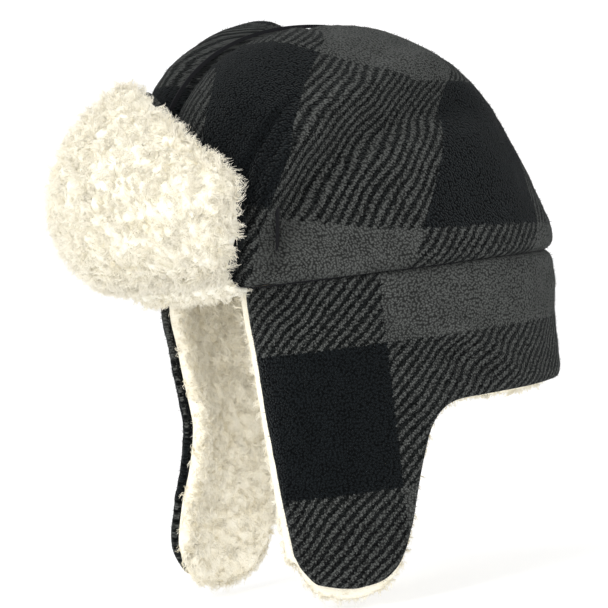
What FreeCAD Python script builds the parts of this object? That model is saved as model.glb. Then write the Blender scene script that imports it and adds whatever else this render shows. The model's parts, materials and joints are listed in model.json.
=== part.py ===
import FreeCAD, Part
import math
import os

# A trapper hat of plaid cloth lined with sherpa, in millimetres.
# X runs to the wearer's left, Y to the back of the head and Z up. The origin is the
# centre of the head opening, level with the seam between the crown and the neck band.

# Outside of the shell cloth at the crown seam, and the crown above it
HALF_WIDTH = 99.0
HALF_LENGTH = 120.0
CROWN_HEIGHT = 148.0
CROWN_SIDE_POWER = 2.8     # higher makes the crown stand straighter at its sides
CROWN_TOP_POWER = 2.1      # higher makes the crown flatter on top
CROWN_LEAN = 0.13          # shift of the crown to the front, per millimetre of height
CROWN_STEPS = 10           # points up the crown's profile, less one

# Each layer as its depth below the outside of the hat: where it starts and where it ends
SHELL = (0.0, 2.5)
WADDING = (3.0, 6.8)
LINING = (7.3, 17.3)
THREAD = (3.4, 5.4)
THREAD_WIDTH = 1.2
SEAM_GAP = 0.5             # between the two halves of the crown
BASE_GAP = 0.9             # above and below the crown seam
WADDING_MARGIN = 3.0       # the wadding stops this far from a seam

# Neck band: a ring round the sides and the back, open at the brow
BAND_HEIGHT = 74.0
BAND_TAPER_WIDTH = 2.0
BAND_TAPER_LENGTH = 4.0
BAND_END_X = 53.0          # the band's two ends, either side of the brow
BAND_SEAM_RISE = 0.8       # the edge seam's height above the band's lower edge
BAND_SEAM_FRONT = 5.0      # the edge seam runs round the back from this far behind the middle

# Darts that shape the front of the crown
DART_FOOT = (72.0, -95.0, 0.0)
DART_TOP = (62.0, -62.0, 92.0)

# Left ear flap. It hangs from a fold level with the lower edge of the neck band.
FOLD_POINT = (83.6, -59.9, -74.4)
FOLD_ANGLE = 22.0          # of the fold line, away from the front-to-back direction
FLAP_TOP_RADIUS = 115.0    # the flap's curve round the cheek, at its fold and at its tip
FLAP_TIP_RADIUS = 150.0
FLAP_TWIST = 11.0          # the flap turns its front edge out by this angle towards its tip
FLAP_WALL_DROP = 105.0     # height that the turn is spread over
CHEEK_HALF_ARC = 40.0      # reach of the cheek wall, which the outline is then cut from
FLAP_TOP_GAP = 0.7         # the flap starts this far below its fold line
FLAP_OUTSIDE_GAP = 2.5     # the fold line lies this far outside the flap
FOLD_RELIEF = 17.0         # the band's lower edge is bevelled by this angle above the flap
RELIEF_SPAN = (-75.0, 62.0)     # reach of that bevel along the fold line
RELIEF_DEPTH = (-20.0, 80.0)    # from outside the hat to inside it
RELIEF_HEIGHT = 60.0
# Outline as distance along the fold line (to the back) and distance below the fold line
FLAP_FRONT = [(-47.0, FLAP_TOP_GAP), (-43.0, 40.0), (-41.0, 72.0)]
FLAP_TIP = [(-41.0, 72.0), (-30.0, 89.0), (-9.0, 94.0), (8.0, 89.0), (20.0, 74.0)]
FLAP_BACK = [(20.0, 74.0), (30.0, 48.0), (36.0, 26.0), (44.0, 8.0), (55.0, FLAP_TOP_GAP)]
FLAP_CENTRE = (-5.0, 47.0)      # an inset outline shrinks towards this point
FLAP_HALF_WIDTH = 42.0
FLAP_HALF_DROP = 48.0
FLAP_SEAM_INSET = 2.0           # the edge seam's distance in from the outline
FLAP_WADDING_INSET = 7.0
FLAP_SEAM_START = 24.0          # the edge seam ends this far below the fold line

# Front flap, turned up against the crown
FRONT_HALF_ANGLE = 42.0    # its reach to each side, round the oval
FRONT_SPANS = 8            # spans between the upright profiles that it is shaped through
FRONT_RISE_STEPS = 5       # points up each profile, less one
FRONT_BOTTOM = 3.0
FRONT_TOP_MIDDLE = 114.0
FRONT_TOP_END = 58.0
FRONT_ARCH_POWER = 1.6     # how quickly the top edge falls away from the middle
FRONT_GAP_BOTTOM = 4.5     # from the crown to the back of the flap
FRONT_GAP_TOP = 13.0
FRONT_GAP_BELLY = 9.0      # more gap half way up
FRONT_CLOTH = (0.0, 2.5)
FRONT_STIFFENER = (3.1, 5.1)
FRONT_STIFFENER_MARGIN = 6.0
FRONT_SEAM_DROP = (1.2, 2.4)
FACING_START = 5.7
FACING_EDGE = 10.0         # thickness of the sherpa facing at its bottom and top
FACING_BELLY = 17.0        # more thickness where it bulges, low on the flap
FACING_BELLY_POWER = 0.75  # under 1 brings the bulge below half height
FACING_END_SHARE = 0.7     # bulge at the two ends, as a share of the bulge in the middle

FAR = 400.0                # larger than the hat


def vector(x, y, z):
    return FreeCAD.Vector(x, y, z)


def block(x, y, z):
    """A box given as (low, high) along each axis."""
    corner = vector(x[0], y[0], z[0])
    return Part.makeBox(x[1] - x[0], y[1] - y[0], z[1] - z[0], corner)


def mirrored(shape):
    """The same shape on the wearer's other side."""
    return shape.mirror(vector(0, 0, 0), vector(1, 0, 0))


def solid_of(shape):
    """The largest solid of a shape."""
    return max(shape.Solids, key=lambda solid: solid.Volume)


# ---- crown -------------------------------------------------------------------

def crown_profile(angle):
    """Share of the crown's reach and share of its height, from the seam (0) to the top (90)."""
    turn = math.radians(angle)
    across = abs(math.cos(turn)) ** (2.0 / CROWN_TOP_POWER)
    up = math.sin(turn) ** (2.0 / CROWN_SIDE_POWER)
    return across, up


def dome(depth):
    """Solid inside the crown, its surface at a depth below the outside of the shell."""
    points = []
    for step in range(CROWN_STEPS + 1):
        across, up = crown_profile(90.0 * step / CROWN_STEPS)
        points.append(vector(100.0 * across, 0, 100.0 * up))
    points[-1] = vector(0, 0, 100.0)
    curve = Part.BSplineCurve()
    curve.interpolate(Points=points, InitialTangent=vector(0, 0, 1), FinalTangent=vector(-1, 0, 0))
    axis = Part.makeLine(vector(0, 0, 100.0), vector(0, 0, 0))
    base = Part.makeLine(vector(0, 0, 0), points[0])
    half_profile = Part.Face(Part.Wire([curve.toShape(), axis, base]))
    turned = half_profile.revolve(vector(0, 0, 0), vector(0, 0, 1), 360)
    width = (HALF_WIDTH - depth) / 100.0
    length = (HALF_LENGTH - depth) / 100.0
    height = (CROWN_HEIGHT - depth) / 100.0
    oval = FreeCAD.Matrix(
        width, 0, 0, 0,
        0, length, -CROWN_LEAN * height, 0,
        0, 0, height, 0,
        0, 0, 0, 1,
    )
    return turned.transformGeometry(oval)


def crown_layer(layer):
    """One layer of the whole crown."""
    return dome(layer[0]).cut(dome(layer[1]))


def left_half(whole, gap, lift):
    """The wearer's left half of a crown layer, clear of the centre seam and the crown seam."""
    return solid_of(whole.common(block((gap, FAR), (-FAR, FAR), (lift, FAR))))


def centre_seam(lift):
    """Stitching over the crown from front to back, between its two halves."""
    edges = []
    ends = []
    for depth in THREAD:
        points = []
        for step in range(-CROWN_STEPS, CROWN_STEPS + 1):
            across, up = crown_profile(90.0 - 90.0 * abs(step) / CROWN_STEPS)
            z = (CROWN_HEIGHT - depth) * up
            y = (HALF_LENGTH - depth) * across * (1 if step > 0 else -1) - CROWN_LEAN * z
            points.append(vector(-THREAD_WIDTH / 2.0, y, z))
        curve = Part.BSplineCurve()
        curve.interpolate(points)
        edges.append(curve.toShape())
        ends.append((points[0], points[-1]))
    edges.append(Part.makeLine(ends[0][0], ends[1][0]))
    edges.append(Part.makeLine(ends[0][1], ends[1][1]))
    face = Part.Face(Part.Wire(Part.__sortEdges__(edges)))
    arch = face.extrude(vector(THREAD_WIDTH, 0, 0))
    return solid_of(arch.common(block((-FAR, FAR), (-FAR, FAR), (lift, FAR))))


def dart_slab(thickness):
    """Upright slab through the left dart, square to the crown."""
    foot = vector(*DART_FOOT)
    top = vector(*DART_TOP)
    along = top - foot
    length = along.Length
    along.normalize()
    inward = vector(-foot.x, -foot.y, 0)
    across = inward.cross(along)
    across.normalize()
    inward = along.cross(across)
    slab = Part.makeBox(length, thickness, 80.0, vector(0, -thickness / 2.0, -40.0))
    slab.Placement = FreeCAD.Placement(
        FreeCAD.Matrix(
            along.x, across.x, inward.x, foot.x,
            along.y, across.y, inward.y, foot.y,
            along.z, across.z, inward.z, foot.z,
            0, 0, 0, 1,
        )
    )
    return slab


def crown_pieces():
    """Two shell panels, two wads of filling, two lining panels and the seams between them."""
    lift = BASE_GAP + WADDING_MARGIN
    wadding_gap = THREAD_WIDTH / 2.0 + 0.5
    shell = left_half(crown_layer(SHELL), SEAM_GAP / 2.0, BASE_GAP)
    wadding = left_half(crown_layer(WADDING), wadding_gap, lift)
    wadding = solid_of(wadding.cut(dart_slab(THREAD_WIDTH + 1.0)))
    lining = left_half(crown_layer(LINING), SEAM_GAP / 2.0, BASE_GAP)
    seam_layer = crown_layer(THREAD)
    dart = seam_layer.common(dart_slab(THREAD_WIDTH)).common(block((0, FAR), (-FAR, FAR), (lift, FAR)))
    pieces = {
        "crown_centre_seam": centre_seam(lift),
    }
    for name, left in (
        ("crown_shell", shell),
        ("crown_wadding", wadding),
        ("crown_lining", lining),
        ("crown_dart_seam", solid_of(dart)),
    ):
        pieces[name + "_left"] = left
        pieces[name + "_right"] = mirrored(left)
    return pieces


# ---- neck band ---------------------------------------------------------------

def oval_wire(depth, z):
    """Oval round the hat at a height between the crown seam and the band's lower edge."""
    share = -z / BAND_HEIGHT
    width = HALF_WIDTH - depth - BAND_TAPER_WIDTH * share
    length = HALF_LENGTH - depth - BAND_TAPER_LENGTH * share
    edge = Part.Ellipse(vector(0, 0, z), length, width).toShape()
    edge.rotate(vector(0, 0, z), vector(0, 0, 1), 90)
    return Part.Wire([edge])


def oval_ring(layer, low, high):
    """Ring of one layer between two heights."""
    outside = Part.makeLoft([oval_wire(layer[0], low), oval_wire(layer[0], high)], True, True)
    inside = Part.makeLoft([oval_wire(layer[1], low), oval_wire(layer[1], high)], True, True)
    return outside.cut(inside)


def fold_frame():
    """Placement whose X runs back along the left fold line, Y inwards to the head and Z up."""
    angle = math.radians(FOLD_ANGLE)
    along = vector(math.sin(angle), math.cos(angle), 0)
    inward = vector(-math.cos(angle), math.sin(angle), 0)
    return FreeCAD.Placement(
        FreeCAD.Matrix(
            along.x, inward.x, 0, FOLD_POINT[0],
            along.y, inward.y, 0, FOLD_POINT[1],
            0, 0, 1, FOLD_POINT[2],
            0, 0, 0, 1,
        )
    )


def fold_relief():
    """Wedge above the left ear flap that leaves it room to swing in under the band."""
    wedge = block(RELIEF_SPAN, RELIEF_DEPTH, (-RELIEF_HEIGHT, 0.0))
    wedge.rotate(vector(0, 0, 0), vector(1, 0, 0), FOLD_RELIEF)
    wedge.Placement = fold_frame().multiply(wedge.Placement)
    return wedge


def band_pieces():
    """Shell, wadding, lining and edge seam of the neck band, and the seam round the crown."""
    brow = block((-BAND_END_X, BAND_END_X), (-FAR, 0), (-FAR, FAR))
    wide_brow = block((-BAND_END_X - WADDING_MARGIN, BAND_END_X + WADDING_MARGIN), (-FAR, 0), (-FAR, FAR))
    relief = fold_relief()
    both_reliefs = relief.fuse(mirrored(relief))
    top = -BASE_GAP
    bottom = -BAND_HEIGHT
    shell = oval_ring(SHELL, bottom, top).cut(brow).cut(both_reliefs)
    wadding = oval_ring(WADDING, bottom + WADDING_MARGIN, top - WADDING_MARGIN)
    wadding = wadding.cut(wide_brow).cut(both_reliefs)
    lining = oval_ring(LINING, bottom, top).cut(brow).cut(both_reliefs)
    seam_bottom = bottom + BAND_SEAM_RISE
    edge_seam = oval_ring(THREAD, seam_bottom, seam_bottom + THREAD_WIDTH)
    edge_seam = edge_seam.common(block((-FAR, FAR), (BAND_SEAM_FRONT, FAR), (-FAR, FAR)))
    crown_seam = oval_ring(THREAD, -THREAD_WIDTH / 3.0, THREAD_WIDTH / 3.0)
    return {
        "neck_band_shell": solid_of(shell),
        "neck_band_wadding": solid_of(wadding),
        "neck_band_lining": solid_of(lining),
        "neck_band_edge_seam": solid_of(edge_seam),
        "crown_seam": solid_of(crown_seam),
    }


# ---- ear flaps ---------------------------------------------------------------

def flap_outline(inset):
    """Face with the ear flap's outline, in the plane of X (along the fold) and Z (up)."""
    across = 1.0 - inset / FLAP_HALF_WIDTH
    down = 1.0 - inset / FLAP_HALF_DROP
    corners = []
    edges = []
    for outline in (FLAP_FRONT, FLAP_TIP, FLAP_BACK):
        points = []
        for along, below in outline:
            x = FLAP_CENTRE[0] + (along - FLAP_CENTRE[0]) * across
            z = -FLAP_CENTRE[1] - (below - FLAP_CENTRE[1]) * down
            points.append(vector(x, 0, z))
        curve = Part.BSplineCurve()
        curve.interpolate(points)
        edges.append(curve.toShape())
        corners.append((points[0], points[-1]))
    edges.append(Part.makeLine(corners[2][1], corners[0][0]))
    return Part.Face(Part.Wire(edges))


def flap_prism(inset):
    """The outline carried right through the flap, from outside to inside."""
    face = flap_outline(inset)
    face.translate(vector(0, -60.0, 0))
    return face.extrude(vector(0, 120.0, 0))


def cheek_section(layer, radius, turn, z):
    """Closed outline of one layer of the cheek wall, at a height and turned about the fold."""
    edges = []
    ends = []
    for depth in layer:
        bend = radius - depth
        centre = vector(0, radius + FLAP_OUTSIDE_GAP, z)
        half = math.radians(CHEEK_HALF_ARC)
        points = []
        for angle in (-half, 0.0, half):
            points.append(centre + vector(bend * math.sin(angle), -bend * math.cos(angle), 0))
        edges.append(Part.Arc(*points).toShape())
        ends.append((points[0], points[-1]))
    edges.append(Part.makeLine(ends[0][0], ends[1][0]))
    edges.append(Part.makeLine(ends[0][1], ends[1][1]))
    section = Part.Wire(Part.__sortEdges__(edges))
    section.rotate(vector(0, 0, z), vector(0, 0, 1), turn)
    return section


def cheek_shell(layer):
    """Upright curved wall of one layer, its front edge turning out towards the tip."""
    top = cheek_section(layer, FLAP_TOP_RADIUS, 0.0, 0.0)
    tip = cheek_section(layer, FLAP_TIP_RADIUS, FLAP_TWIST, -FLAP_WALL_DROP)
    return Part.makeLoft([tip, top], True, True)


def earflap_pieces():
    """Shell, wadding, lining and edge seam of both ear flaps."""
    edge = flap_prism(FLAP_SEAM_INSET).common(cheek_shell(THREAD))
    edge = edge.cut(flap_prism(FLAP_SEAM_INSET + THREAD_WIDTH))
    below_fold = block((-FAR, FAR), (-FAR, FAR), (-FAR, -FLAP_SEAM_START))
    layers = {
        "shell": flap_prism(0).common(cheek_shell(SHELL)),
        "wadding": flap_prism(FLAP_WADDING_INSET).common(cheek_shell(WADDING)),
        "lining": flap_prism(0).common(cheek_shell(LINING)),
        "edge_seam": edge.common(below_fold),
    }
    pieces = {}
    for name, shape in layers.items():
        left = solid_of(shape)
        left.Placement = fold_frame().multiply(left.Placement)
        pieces["earflap_" + name + "_left"] = left
        pieces["earflap_" + name + "_right"] = mirrored(left)
    return pieces


# ---- front flap --------------------------------------------------------------

def front_span(angle):
    """Bottom and top of the front flap at an angle round the oval from its middle."""
    share = abs(angle) / FRONT_HALF_ANGLE
    return FRONT_BOTTOM, FRONT_TOP_MIDDLE - (FRONT_TOP_MIDDLE - FRONT_TOP_END) * share ** FRONT_ARCH_POWER


def beyond_crown(angle, height, distance):
    """Point a distance outside the crown, at an angle round it from the middle of the brow."""
    turn = math.radians(angle)
    size = (1.0 - (height / CROWN_HEIGHT) ** CROWN_SIDE_POWER) ** (1.0 / CROWN_TOP_POWER)
    reach = vector(HALF_WIDTH * math.sin(turn), -HALF_LENGTH * math.cos(turn), 0)
    leaning_axis = vector(0, -CROWN_LEAN * height, height)
    return leaning_axis + reach * (size + distance / reach.Length)


def front_gap(rise):
    """Distance from the crown to the back of the flap, at a share of the flap's height."""
    straight = FRONT_GAP_BOTTOM + (FRONT_GAP_TOP - FRONT_GAP_BOTTOM) * rise
    return straight + FRONT_GAP_BELLY * math.sin(math.pi * rise)


def front_profile(angle, depth, bulge, margins):
    """Points up one face of the flap: depth forward of its back, plus a share of the bulge."""
    bottom, top = front_span(angle)
    end_share = 1.0 - (1.0 - FACING_END_SHARE) * (angle / FRONT_HALF_ANGLE) ** 2
    low = bottom + margins[0]
    high = top - margins[1]
    points = []
    for step in range(FRONT_RISE_STEPS + 1):
        height = low + (high - low) * step / FRONT_RISE_STEPS
        rise = (height - bottom) / (top - bottom)
        belly = FACING_BELLY * math.sin(math.pi * rise ** FACING_BELLY_POWER)
        thickness = (FACING_EDGE + belly * end_share) * bulge
        points.append(beyond_crown(angle, height, front_gap(rise) + depth + thickness))
    return points


def front_layer(layer, margins, reach, bulge=0.0):
    """Solid between two faces of the front flap, shaped through a row of upright profiles."""
    wires = []
    for step in range(FRONT_SPANS + 1):
        angle = reach * (2.0 * step / FRONT_SPANS - 1.0)
        back = front_profile(angle, layer[0], 0.0, margins)
        front = front_profile(angle, layer[1], bulge, margins)
        back_curve = Part.BSplineCurve()
        back_curve.interpolate(back)
        front_curve = Part.BSplineCurve()
        front_curve.interpolate(front[::-1])
        wires.append(Part.Wire([
            back_curve.toShape(),
            Part.makeLine(back[-1], front[-1]),
            front_curve.toShape(),
            Part.makeLine(front[0], back[0]),
        ]))
    return solid_of(Part.makeLoft(wires, True, False))


def front_seam():
    """Stitching along the front flap's top edge, between the backing and the facing."""
    wires = []
    for step in range(FRONT_SPANS + 1):
        angle = (FRONT_HALF_ANGLE - 1.5) * (2.0 * step / FRONT_SPANS - 1.0)
        bottom, top = front_span(angle)
        corners = []
        for drop, forward in ((1, 0.0), (0, 0.0), (0, THREAD_WIDTH), (1, THREAD_WIDTH)):
            height = top - FRONT_SEAM_DROP[drop]
            depth = front_gap((height - bottom) / (top - bottom)) + FRONT_STIFFENER[0] + forward
            corners.append(beyond_crown(angle, height, depth))
        wires.append(Part.makePolygon(corners + corners[:1]))
    return solid_of(Part.makeLoft(wires, True, False))


def front_flap_pieces():
    """Backing cloth, stiffener, sherpa facing and top seam of the turned-up front flap."""
    whole = (0.0, 0.0)
    inset = (FRONT_STIFFENER_MARGIN, FRONT_STIFFENER_MARGIN)
    reach = FRONT_HALF_ANGLE
    return {
        "front_flap_backing": front_layer(FRONT_CLOTH, whole, reach),
        "front_flap_stiffener": front_layer(FRONT_STIFFENER, inset, reach - 3.0),
        "front_flap_facing": front_layer((FACING_START, FACING_START), whole, reach, 1.0),
        "front_flap_edge_seam": front_seam(),
    }


def build():
    pieces = {}
    pieces.update(crown_pieces())
    pieces.update(band_pieces())
    pieces.update(earflap_pieces())
    pieces.update(front_flap_pieces())
    return pieces


os.makedirs("parts", exist_ok=True)
for name, shape in build().items():
    shape.exportStep("parts/" + name + ".step")
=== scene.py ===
"""Looks of the trapper hat: plush plaid cloth over wadding, sherpa lining and a sherpa front flap."""

import json
import math

import bmesh
import bpy
import numpy as np
from mathutils import Matrix, Vector


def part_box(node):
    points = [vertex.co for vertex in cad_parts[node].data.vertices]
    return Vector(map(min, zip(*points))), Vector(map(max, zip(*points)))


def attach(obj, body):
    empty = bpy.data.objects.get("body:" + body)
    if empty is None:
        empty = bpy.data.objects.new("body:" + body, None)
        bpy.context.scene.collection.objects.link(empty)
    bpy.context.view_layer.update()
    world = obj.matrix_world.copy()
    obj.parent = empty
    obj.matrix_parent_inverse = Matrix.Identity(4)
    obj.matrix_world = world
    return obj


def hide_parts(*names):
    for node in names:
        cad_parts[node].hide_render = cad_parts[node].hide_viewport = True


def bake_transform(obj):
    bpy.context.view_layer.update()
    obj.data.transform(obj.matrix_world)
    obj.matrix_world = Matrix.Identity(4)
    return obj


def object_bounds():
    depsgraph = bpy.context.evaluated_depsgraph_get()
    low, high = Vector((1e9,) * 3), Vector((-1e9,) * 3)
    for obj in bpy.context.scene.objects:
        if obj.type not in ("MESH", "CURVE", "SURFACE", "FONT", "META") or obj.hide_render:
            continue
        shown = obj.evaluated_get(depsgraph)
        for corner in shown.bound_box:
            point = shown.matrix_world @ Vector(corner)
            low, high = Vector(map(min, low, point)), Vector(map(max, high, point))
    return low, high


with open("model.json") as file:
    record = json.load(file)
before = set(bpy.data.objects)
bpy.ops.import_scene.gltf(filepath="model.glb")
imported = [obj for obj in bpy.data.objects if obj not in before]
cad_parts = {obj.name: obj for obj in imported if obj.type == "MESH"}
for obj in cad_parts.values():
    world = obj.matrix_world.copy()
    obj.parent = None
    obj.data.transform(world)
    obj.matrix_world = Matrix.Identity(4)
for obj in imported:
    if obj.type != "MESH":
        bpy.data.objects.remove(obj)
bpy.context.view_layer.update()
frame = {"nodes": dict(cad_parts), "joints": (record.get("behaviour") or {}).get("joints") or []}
joints = {joint["name"]: joint for joint in frame["joints"]}

# ---- sizes, in metres ----------------------------------------------------------

HALF_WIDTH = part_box("crown_shell_left")[1].x
HALF_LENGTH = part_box("neck_band_shell")[1].y
CROWN_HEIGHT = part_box("crown_shell_left")[1].z
BAND_HEIGHT = -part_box("neck_band_shell")[0].z
BAND_END_X = 0.053
CROWN_SIDE_POWER = 2.8
CROWN_TOP_POWER = 2.1
CROWN_LEAN = 0.13
BAND_TAPER = (0.002, 0.004)
SEAM_HALF_GAP = 0.0003
BASE_GAP = 0.0001

# Depth of each layer below the outside of the hat: where it starts and where it ends
SHELL = (0.0, 0.0068)
LINING = (0.0073, 0.0172)

# Ear flap: its wall curves round the cheek and turns its front edge out towards the tip
FOLD_POINT = np.array(joints["earflap_left_fold"]["pos_m"])
FOLD_BACK = -np.array(joints["earflap_left_fold"]["axis"])
FOLD_IN = np.array([-FOLD_BACK[1], FOLD_BACK[0], 0.0])
FLAP_TOP_RADIUS = 0.115
FLAP_TIP_RADIUS = 0.150
FLAP_TWIST = math.radians(11.0)
FLAP_WALL_DROP = 0.105
FRONT_EDGE_SHIFT = 0.006
FLAP_FRONT_END = -0.047
FLAP_BACK_END = 0.020
# Lower edge of the flap: distance along the fold and depth below it
FLAP_ALONG = [
    -0.047, -0.044, -0.036, -0.023, -0.012, 0.002, 0.009,
    0.016, 0.021, 0.030, 0.036, 0.044, 0.054, 0.064]
FLAP_BELOW = [
    0.070, 0.079, 0.089, 0.0925, 0.094, 0.0925, 0.090,
    0.085, 0.079, 0.057, 0.034, 0.012, 0.002, 0.0]
FAR_FLAP_SPLAY = 0.011      # the right flap's front edge hangs this much further out
LINING_OVERHANG = 0.0062    # how far the lining shows past the cloth's edge

# Front flap
FRONT_HALF_ANGLE = math.radians(42.0)
FRONT_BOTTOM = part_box("front_flap_facing")[0].z
FRONT_TOP_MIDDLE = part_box("front_flap_facing")[1].z
FRONT_TOP_END = 0.058
FRONT_ARCH_POWER = 1.75
FRONT_GAP_BOTTOM = 0.0045
FRONT_GAP_TOP = 0.013
FRONT_GAP_BELLY = 0.009
FACING_START = 0.0057
FACING_EDGE = 0.010
FACING_BELLY = 0.017
FACING_BELLY_POWER = 0.75
FACING_END_SHARE = 0.7
FACING_NARROWING = 0.20     # how much the facing draws in to each side at its bottom
FACING_LIFT = 0.006

# Fold of the sherpa under the crown's edge at the brow
BROW_FOLD_ANGLE = math.radians(33.0)
BROW_FOLD_TURN = math.radians(160.0)
BROW_FOLD_REACH = 0.011
BROW_FOLD_DROP = 0.0065

# Plaid blocks
CROWN_BLOCK = (0.098, 0.089)
BAND_BLOCK = (0.074, 0.079)
BAND_WIDE_BLOCK = 0.155     # the plain block round the back of the band
CROWN_NARROW_BLOCK = 0.048  # the black block at the front of the crown

# Fibres of one sherpa lock start within about this distance of each other
LOCK_WIDTH = 0.0009
FIBRE_RADIUS = 0.00017
RIM_INSET = 0.0020          # locks on a cut edge start this far inside it

# Stage
FLOOR_GAP = 0.0003
FLOOR_RADIUS = 2.6
WALL_CURVE = 1.2
WALL_TOP = 4.0

FINENESS = 1.0


# ---- noise ---------------------------------------------------------------------

def lattice_value(cell, seed):
    """A repeatable number from 0 to 1 for each point of a whole-numbered lattice."""
    mixed = cell[..., 0] * 73856093 ^ cell[..., 1] * 19349663
    mixed = mixed ^ cell[..., 2] * 83492791 ^ seed * 2654435761
    mixed = (mixed ^ (mixed >> 13)) * 1274126177
    mixed = mixed & 0xFFFFFFFF
    mixed = ((mixed ^ (mixed >> 15)) * 668265263) & 0xFFFFFFFF
    return ((mixed ^ (mixed >> 16)) & 0xFFFFFF) / float(0xFFFFFF)


def smooth_noise(points, size, seed):
    """Soft lumps from -1 to 1, of about the given size."""
    place = points / size
    cell = np.floor(place).astype(np.int64)
    share = place - cell
    share = share * share * (3.0 - 2.0 * share)
    total = np.zeros(points.shape[:-1])
    for corner in np.ndindex(2, 2, 2):
        offset = np.array(corner)
        weight = np.prod(np.where(offset == 1, share, 1.0 - share), axis=-1)
        total += weight * lattice_value(cell + offset, seed)
    return total * 2.0 - 1.0


def tufts(points, size, seed):
    """Round tufts of about the given size: 1 at the middle of each, falling to 0 between them."""
    place = points / size
    cell = np.floor(place).astype(np.int64)
    nearest = np.full(points.shape[:-1], 9.0)
    for corner in np.ndindex(3, 3, 3):
        near = cell + np.array(corner) - 1
        centre = np.stack([lattice_value(near, seed + axis) for axis in range(3)], axis=-1)
        gap = near + 0.15 + 0.7 * centre - place
        nearest = np.minimum(nearest, np.sum(gap * gap, axis=-1))
    return np.clip(1.0 - nearest / 0.72, 0.0, 1.0)


def bell(value, width):
    """1 at zero, falling smoothly to 0 over about twice the width."""
    return np.exp(-(value / width) ** 2)


def ramp(value, low, high):
    """0 below low, 1 above high and smooth between."""
    share = np.clip((value - low) / (high - low), 0.0, 1.0)
    return share * share * (3.0 - 2.0 * share)


# ---- grids and meshes ----------------------------------------------------------

def spaced(count):
    """Numbers from 0 to 1, closer together near both ends."""
    even = np.linspace(0.0, 1.0, max(8, int(count * FINENESS)))
    return 0.5 * even + 0.25 * (1.0 - np.cos(math.pi * even))


def unit(vectors):
    """The same directions with length 1."""
    return vectors / np.maximum(np.linalg.norm(vectors, axis=-1, keepdims=True), 1e-12)


def normals_of(grid, middle):
    """Normals of a grid of points, facing away from a middle point."""
    normals = unit(np.cross(np.gradient(grid, axis=0), np.gradient(grid, axis=1)))
    if np.sum(normals * (grid - middle)) < 0.0:
        normals = -normals
    return normals


def edge_distances(grid):
    """Distance of each grid point from the first row, last row, first column and last column."""
    down = np.linalg.norm(np.diff(grid, axis=0), axis=-1)
    across = np.linalg.norm(np.diff(grid, axis=1), axis=-1)
    from_top = np.concatenate([np.zeros((1, grid.shape[1])), np.cumsum(down, axis=0)])
    from_left = np.concatenate([np.zeros((grid.shape[0], 1)), np.cumsum(across, axis=1)], axis=1)
    return from_top, from_top[-1:] - from_top, from_left, from_left[:, -1:] - from_left


def roundness(grid, radii):
    """Share of the full thickness at each point of a sheet whose four edges are rounded."""
    share = np.ones(grid.shape[:2])
    for distance, radius in zip(edge_distances(grid), radii):
        if radius > 0.0:
            near = 1.0 - np.clip(distance / radius, 0.0, 1.0)
            share = share * np.sqrt(np.clip(1.0 - near * near, 0.02, 1.0))
    return share


def rim_indices(rows, columns):
    """Grid points round the edge of a sheet, in order."""
    index = np.arange(rows * columns).reshape(rows, columns)
    return np.concatenate([index[0, :-1], index[:-1, -1], index[-1, :0:-1], index[:0:-1, 0]])


def sheet_mesh(name, outer, inner, material, uv_maps, attributes=None):
    """A closed sheet with an outer face and an inner face of the same grid."""
    rows, columns = outer.shape[:2]
    count = rows * columns
    corner = (np.arange(rows - 1)[:, None] * columns + np.arange(columns - 1)[None, :]).ravel()
    front = np.stack([corner, corner + 1, corner + columns + 1, corner + columns], axis=1)
    back = front[:, ::-1] + count
    rim = rim_indices(rows, columns)
    following = np.roll(rim, -1)
    side = np.stack([rim, rim + count, following + count, following], axis=1)
    faces = np.concatenate([front, back, side])
    mesh = bpy.data.meshes.new(name)
    points = np.concatenate([outer.reshape(-1, 3), inner.reshape(-1, 3)])
    mesh.from_pydata(points.tolist(), [], faces.tolist())
    body = bmesh.new()
    body.from_mesh(mesh)
    bmesh.ops.recalc_face_normals(body, faces=body.faces)
    body.to_mesh(mesh)
    body.free()
    mesh.shade_smooth()
    corners = np.zeros(len(mesh.loops), dtype=np.int32)
    mesh.loops.foreach_get("vertex_index", corners)
    for map_name, coordinates in uv_maps.items():
        both = np.concatenate([coordinates.reshape(-1, 2)] * 2)
        layer = mesh.uv_layers.new(name=map_name)
        layer.data.foreach_set("uv", both[corners].astype(np.float32).ravel())
    for attribute_name, values in (attributes or {}).items():
        layer = mesh.attributes.new(attribute_name, "FLOAT", "POINT")
        layer.data.foreach_set("value", values.astype(np.float32).ravel())
    mesh.materials.append(material)
    piece = bpy.data.objects.new(name, mesh)
    bpy.context.scene.collection.objects.link(piece)
    return piece


def scattered(grid, normals, count, random, wanted=None):
    """Random points on a grid, evenly by area, with their normals and grid places."""
    area = np.linalg.norm(np.cross(
        grid[1:, :-1] - grid[:-1, :-1], grid[:-1, 1:] - grid[:-1, :-1]), axis=-1)
    if wanted is not None:
        area = area * wanted[:-1, :-1]
    chance = (area / area.sum()).ravel()
    cell = random.choice(chance.size, size=count, p=chance)
    row, column = np.divmod(cell, grid.shape[1] - 1)
    down = random.random(count)[:, None]
    across = random.random(count)[:, None]

    def blended(values):
        top = values[row, column] * (1 - across) + values[row, column + 1] * across
        bottom = values[row + 1, column] * (1 - across) + values[row + 1, column + 1] * across
        return top * (1 - down) + bottom * down

    return blended(grid), unit(blended(normals)), row, column


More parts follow.
